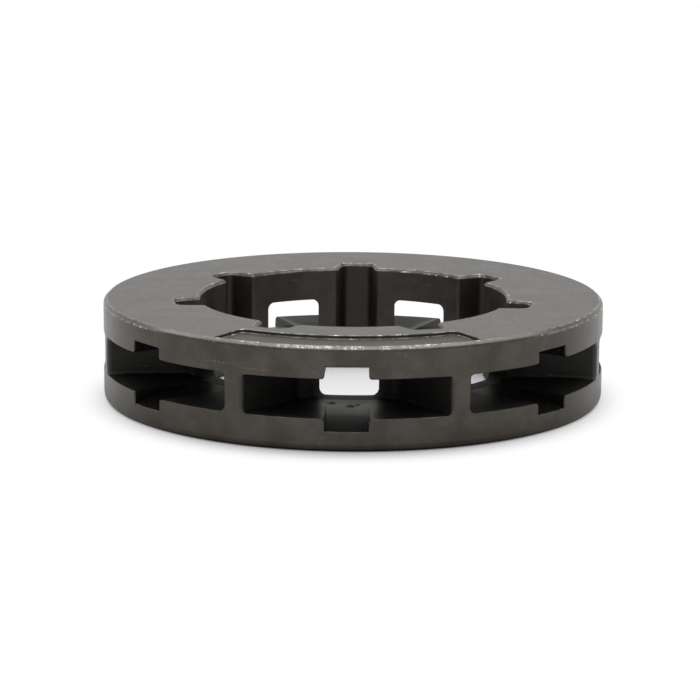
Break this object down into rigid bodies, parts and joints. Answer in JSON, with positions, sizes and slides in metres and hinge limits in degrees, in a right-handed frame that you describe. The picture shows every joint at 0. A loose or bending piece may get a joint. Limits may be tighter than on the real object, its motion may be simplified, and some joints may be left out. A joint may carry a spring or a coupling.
{
  "type": "chainsaw rim sprocket",
  "caption": "Ring-shaped chainsaw drive sprocket: two flat rims joined by tapered posts, drive-link windows cleared through to the bore, and a splined bore that slides on a clutch drum.",
  "frame": {"origin": "centre of the bore on the plain lower face, which it lies on", "axes": "+Z along the bore, from the plain face to the face with the shallow recess; -Y through the middle of the recess and of one window"},
  "size_m": [0.031, 0.031, 0.0063],
  "materials": {
    "dark_steel": "dark satin, bright along worn edges"
  },
  "bodies": {
    "root": {"rim_sprocket": "dark_steel"}
  },
  "joints": []
}
